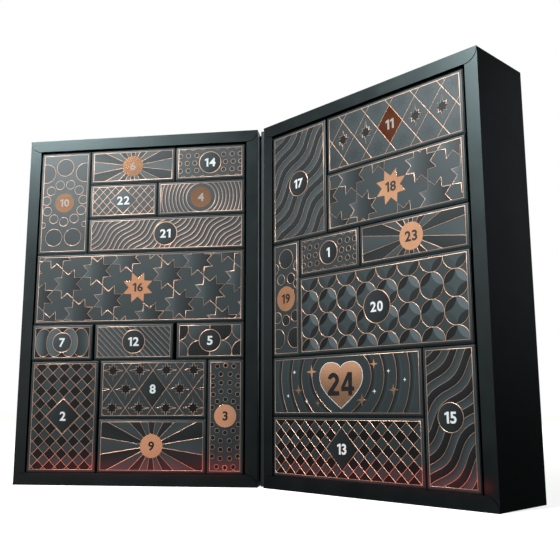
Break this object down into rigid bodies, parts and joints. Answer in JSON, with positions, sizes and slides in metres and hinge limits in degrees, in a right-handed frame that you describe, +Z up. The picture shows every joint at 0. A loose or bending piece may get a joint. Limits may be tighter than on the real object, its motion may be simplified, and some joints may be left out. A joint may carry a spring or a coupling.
{
  "type": "advent calendar",
  "caption": "Free-standing advent calendar that opens like a book: framed trays of numbered pull-out cartons with front flaps, joined by a creased spine.",
  "frame": {"origin": "middle of the footprint, on the surface the calendar stands on, at its rest opening", "axes": "+Z up, +X to the right as seen from the front, the open side towards -Y"},
  "size_m": [0.6838, 0.1944, 0.47],
  "materials": {
    "rim_paper": "satin",
    "case_paper": "satin",
    "spine_paper": "satin",
    "carton_card": "satin",
    "printed_card": "satin"
  },
  "bodies": {
    "hinge_spine": {"hinge_spine": "spine_paper"},
    "right_tray": {"right_tray_case": "case_paper", "right_tray_top_rim": "rim_paper", "right_tray_bottom_rim": "rim_paper", "right_tray_hinge_rim": "rim_paper", "right_tray_outer_rim": "rim_paper"},
    "left_tray": {"left_tray_case": "case_paper", "left_tray_top_rim": "rim_paper", "left_tray_bottom_rim": "rim_paper", "left_tray_outer_rim": "rim_paper", "left_tray_hinge_rim": "rim_paper"},
    "carton_24": {"carton_24_body": "carton_card"},
    "carton_24_flap": {"carton_24_flap": "printed_card"},
    "carton_16": {"carton_16_body": "carton_card"},
    "carton_16_flap": {"carton_16_flap": "printed_card"},
    "carton_02": {"carton_02_body": "carton_card"},
    "carton_02_flap": {"carton_02_flap": "printed_card"},
    "carton_18": {"carton_18_body": "carton_card"},
    "carton_18_flap": {"carton_18_flap": "printed_card"},
    "carton_11": {"carton_11_body": "carton_card"},
    "carton_11_flap": {"carton_11_flap": "printed_card"},
    "carton_03": {"carton_03_body": "carton_card"},
    "carton_03_flap": {"carton_03_flap": "printed_card"},
    "carton_20": {"carton_20_body": "carton_card"},
    "carton_20_flap": {"carton_20_flap": "printed_card"},
    "carton_15": {"carton_15_body": "carton_card"},
    "carton_15_flap": {"carton_15_flap": "printed_card"},
    "carton_10": {"carton_10_body": "carton_card"},
    "carton_10_flap": {"carton_10_flap": "printed_card"},
    "carton_17": {"carton_17_body": "carton_card"},
    "carton_17_flap": {"carton_17_flap": "printed_card"},
    "carton_13": {"carton_13_body": "carton_card"},
    "carton_13_flap": {"carton_13_flap": "printed_card"},
    "carton_08": {"carton_08_body": "carton_card"},
    "carton_08_flap": {"carton_08_flap": "printed_card"},
    "carton_09": {"carton_09_body": "carton_card"},
    "carton_09_flap": {"carton_09_flap": "printed_card"},
    "carton_23": {"carton_23_body": "carton_card"},
    "carton_23_flap": {"carton_23_flap": "printed_card"},
    "carton_01": {"carton_01_body": "carton_card"},
    "carton_01_flap": {"carton_01_flap": "printed_card"},
    "carton_19": {"carton_19_body": "carton_card"},
    "carton_19_flap": {"carton_19_flap": "printed_card"},
    "carton_21": {"carton_21_body": "carton_card"},
    "carton_21_flap": {"carton_21_flap": "printed_card"},
    "carton_04": {"carton_04_body": "carton_card"},
    "carton_04_flap": {"carton_04_flap": "printed_card"},
    "carton_06": {"carton_06_body": "carton_card"},
    "carton_06_flap": {"carton_06_flap": "printed_card"},
    "carton_07": {"carton_07_body": "carton_card"},
    "carton_07_flap": {"carton_07_flap": "printed_card"},
    "carton_12": {"carton_12_body": "carton_card"},
    "carton_12_flap": {"carton_12_flap": "printed_card"},
    "carton_05": {"carton_05_body": "carton_card"},
    "carton_05_flap": {"carton_05_flap": "printed_card"},
    "carton_14": {"carton_14_body": "carton_card"},
    "carton_14_flap": {"carton_14_flap": "printed_card"},
    "carton_22": {"carton_22_body": "carton_card"},
    "carton_22_flap": {"carton_22_flap": "printed_card"}
  },
  "joints": [
    {"name": "right_crease", "type": "hinge", "parent": "hinge_spine", "child": "right_tray", "pos_m": [0.0065, 0.01397, 0.235], "axis": [0, 0, 1], "range_deg": [-71.1, 18.9]},
    {"name": "left_crease", "type": "hinge", "parent": "hinge_spine", "child": "left_tray", "pos_m": [-0.0065, 0.01397, 0.235], "axis": [0, 0, -1], "range_deg": [-71.1, 18.9]},
    {"name": "carton_24_slide", "type": "slide", "parent": "right_tray", "child": "carton_24", "axis": [-0.3239, -0.9461, 0], "range_m": [0, 0.088]},
    {"name": "carton_24_flap_fold", "type": "hinge", "parent": "carton_24", "child": "carton_24_flap", "pos_m": [0.12699, -0.03172, 0.15987], "axis": [-0.9461, 0.3239, 0], "range_deg": [0, 110]},
    {"name": "carton_16_slide", "type": "slide", "parent": "left_tray", "child": "carton_16", "axis": [0.3239, -0.9461, 0], "range_m": [0, 0.088]},
    {"name": "carton_16_flap_fold", "type": "hinge", "parent": "carton_16", "child": "carton_16_flap", "pos_m": [-0.15945, -0.04283, 0.30543], "axis": [-0.9461, -0.3239, 0], "range_deg": [0, 110]},
    {"name": "carton_02_slide", "type": "slide", "parent": "left_tray", "child": "carton_02", "axis": [0.3239, -0.9461, 0], "range_m": [0, 0.088]},
    {"name": "carton_02_flap_fold", "type": "hinge", "parent": "carton_02", "child": "carton_02_flap", "pos_m": [-0.2519, -0.07449, 0.15987], "axis": [-0.9461, -0.3239, 0], "range_deg": [0, 110]},
    {"name": "carton_18_slide", "type": "slide", "parent": "right_tray", "child": "carton_18", "axis": [-0.3239, -0.9461, 0], "range_m": [0, 0.088]},
    {"name": "carton_18_flap_fold", "type": "hinge", "parent": "carton_18", "child": "carton_18_flap", "pos_m": [0.20267, -0.05922, 0.37822], "axis": [-0.9461, 0.3239, 0], "range_deg": [0, 110]},
    {"name": "carton_11_slide", "type": "slide", "parent": "right_tray", "child": "carton_11", "axis": [-0.3239, -0.9461, 0], "range_m": [0, 0.088]},
    {"name": "carton_11_flap_fold", "type": "hinge", "parent": "carton_11", "child": "carton_11_flap", "pos_m": [0.20316, -0.0578, 0.451], "axis": [-0.9461, 0.3239, 0], "range_deg": [0, 110]},
    {"name": "carton_03_slide", "type": "slide", "parent": "left_tray", "child": "carton_03", "axis": [0.3239, -0.9461, 0], "range_m": [0, 0.088]},
    {"name": "carton_03_flap_fold", "type": "hinge", "parent": "carton_03", "child": "carton_03_flap", "pos_m": [-0.04473, -0.00356, 0.15987], "axis": [-0.9461, -0.3239, 0], "range_deg": [0, 110]},
    {"name": "carton_20_slide", "type": "slide", "parent": "right_tray", "child": "carton_20", "axis": [-0.3239, -0.9461, 0], "range_m": [0, 0.088]},
    {"name": "carton_20_flap_fold", "type": "hinge", "parent": "carton_20", "child": "carton_20_flap", "pos_m": [0.17973, -0.05136, 0.25691], "axis": [-0.9461, 0.3239, 0], "range_deg": [0, 110]},
    {"name": "carton_15_slide", "type": "slide", "parent": "right_tray", "child": "carton_15", "axis": [-0.3239, -0.9461, 0], "range_m": [0, 0.088]},
    {"name": "carton_15_flap_fold", "type": "hinge", "parent": "carton_15", "child": "carton_15_flap", "pos_m": [0.26464, -0.07885, 0.15987], "axis": [-0.9461, 0.3239, 0], "range_deg": [0, 110]},
    {"name": "carton_10_slide", "type": "slide", "parent": "left_tray", "child": "carton_10", "axis": [0.3239, -0.9461, 0], "range_m": [0, 0.088]},
    {"name": "carton_10_flap_fold", "type": "hinge", "parent": "carton_10", "child": "carton_10_flap", "pos_m": [-0.26269, -0.07818, 0.451], "axis": [-0.9461, -0.3239, 0], "range_deg": [0, 110]},
    {"name": "carton_17_slide", "type": "slide", "parent": "right_tray", "child": "carton_17", "axis": [-0.3239, -0.9461, 0], "range_m": [0, 0.088]},
    {"name": "carton_17_flap_fold", "type": "hinge", "parent": "carton_17", "child": "carton_17_flap", "pos_m": [0.06481, -0.01043, 0.451], "axis": [-0.9461, 0.3239, 0], "range_deg": [0, 110]},
    {"name": "carton_13_slide", "type": "slide", "parent": "right_tray", "child": "carton_13", "axis": [-0.3239, -0.9461, 0], "range_m": [0, 0.088]},
    {"name": "carton_13_flap_fold", "type": "hinge", "parent": "carton_13", "child": "carton_13_flap", "pos_m": [0.12699, -0.03172, 0.08708], "axis": [-0.9461, 0.3239, 0], "range_deg": [0, 110]},
    {"name": "carton_08_slide", "type": "slide", "parent": "left_tray", "child": "carton_08", "axis": [0.3239, -0.9461, 0], "range_m": [0, 0.088]},
    {"name": "carton_08_flap_fold", "type": "hinge", "parent": "carton_08", "child": "carton_08_flap", "pos_m": [-0.1365, -0.03498, 0.15987], "axis": [-0.9461, -0.3239, 0], "range_deg": [0, 110]},
    {"name": "carton_09_slide", "type": "slide", "parent": "left_tray", "child": "carton_09", "axis": [0.3239, -0.9461, 0], "range_m": [0, 0.088]},
    {"name": "carton_09_flap_fold", "type": "hinge", "parent": "carton_09", "child": "carton_09_flap", "pos_m": [-0.1365, -0.03498, 0.08369], "axis": [-0.9461, -0.3239, 0], "range_deg": [0, 110]},
    {"name": "carton_23_slide", "type": "slide", "parent": "right_tray", "child": "carton_23", "axis": [-0.3239, -0.9461, 0], "range_m": [0, 0.088]},
    {"name": "carton_23_flap_fold", "type": "hinge", "parent": "carton_23", "child": "carton_23_flap", "pos_m": [0.2261, -0.06565, 0.30543], "axis": [-0.9461, 0.3239, 0], "range_deg": [0, 110]},
    {"name": "carton_01_slide", "type": "slide", "parent": "right_tray", "child": "carton_01", "axis": [-0.3239, -0.9461, 0], "range_m": [0, 0.088]},
    {"name": "carton_01_flap_fold", "type": "hinge", "parent": "carton_01", "child": "carton_01_flap", "pos_m": [0.11138, -0.02638, 0.30543], "axis": [-0.9461, 0.3239, 0], "range_deg": [0, 110]},
    {"name": "carton_19_slide", "type": "slide", "parent": "right_tray", "child": "carton_19", "axis": [-0.3239, -0.9461, 0], "range_m": [0, 0.088]},
    {"name": "carton_19_flap_fold", "type": "hinge", "parent": "carton_19", "child": "carton_19_flap", "pos_m": [0.04256, -0.00281, 0.30543], "axis": [-0.9461, 0.3239, 0], "range_deg": [0, 110]},
    {"name": "carton_21_slide", "type": "slide", "parent": "left_tray", "child": "carton_21", "axis": [0.3239, -0.9461, 0], "range_m": [0, 0.088]},
    {"name": "carton_21_flap_fold", "type": "hinge", "parent": "carton_21", "child": "carton_21_flap", "pos_m": [-0.12503, -0.03105, 0.35396], "axis": [-0.9461, -0.3239, 0], "range_deg": [0, 110]},
    {"name": "carton_04_slide", "type": "slide", "parent": "left_tray", "child": "carton_04", "axis": [0.3239, -0.9461, 0], "range_m": [0, 0.088]},
    {"name": "carton_04_flap_fold", "type": "hinge", "parent": "carton_04", "child": "carton_04_flap", "pos_m": [-0.07915, -0.01534, 0.40248], "axis": [-0.9461, -0.3239, 0], "range_deg": [0, 110]},
    {"name": "carton_06_slide", "type": "slide", "parent": "left_tray", "child": "carton_06", "axis": [0.3239, -0.9461, 0], "range_m": [0, 0.088]},
    {"name": "carton_06_flap_fold", "type": "hinge", "parent": "carton_06", "child": "carton_06_flap", "pos_m": [-0.17092, -0.04676, 0.451], "axis": [-0.9461, -0.3239, 0], "range_deg": [0, 110]},
    {"name": "carton_07_slide", "type": "slide", "parent": "left_tray", "child": "carton_07", "axis": [0.3239, -0.9461, 0], "range_m": [0, 0.088]},
    {"name": "carton_07_flap_fold", "type": "hinge", "parent": "carton_07", "child": "carton_07_flap", "pos_m": [-0.25601, -0.07748, 0.20839], "axis": [-0.9461, -0.3239, 0], "range_deg": [0, 110]},
    {"name": "carton_12_slide", "type": "slide", "parent": "left_tray", "child": "carton_12", "axis": [0.3239, -0.9461, 0], "range_m": [0, 0.088]},
    {"name": "carton_12_flap_fold", "type": "hinge", "parent": "carton_12", "child": "carton_12_flap", "pos_m": [-0.16289, -0.04401, 0.20839], "axis": [-0.9461, -0.3239, 0], "range_deg": [0, 110]},
    {"name": "carton_05_slide", "type": "slide", "parent": "left_tray", "child": "carton_05", "axis": [0.3239, -0.9461, 0], "range_m": [0, 0.088]},
    {"name": "carton_05_flap_fold", "type": "hinge", "parent": "carton_05", "child": "carton_05_flap", "pos_m": [-0.06492, -0.01047, 0.20839], "axis": [-0.9461, -0.3239, 0], "range_deg": [0, 110]},
    {"name": "carton_14_slide", "type": "slide", "parent": "left_tray", "child": "carton_14", "axis": [0.3239, -0.9461, 0], "range_m": [0, 0.088]},
    {"name": "carton_14_flap_fold", "type": "hinge", "parent": "carton_14", "child": "carton_14_flap", "pos_m": [-0.06768, -0.01141, 0.451], "axis": [-0.9461, -0.3239, 0], "range_deg": [0, 110]},
    {"name": "carton_22_slide", "type": "slide", "parent": "left_tray", "child": "carton_22", "axis": [0.3239, -0.9461, 0], "range_m": [0, 0.088]},
    {"name": "carton_22_flap_fold", "type": "hinge", "parent": "carton_22", "child": "carton_22_flap", "pos_m": [-0.18239, -0.05069, 0.40248], "axis": [-0.9461, -0.3239, 0], "range_deg": [0, 110]}
  ],
  "couplings": [
    {"joint": "left_crease", "follows": "right_crease", "ratio": 1}
  ]
}
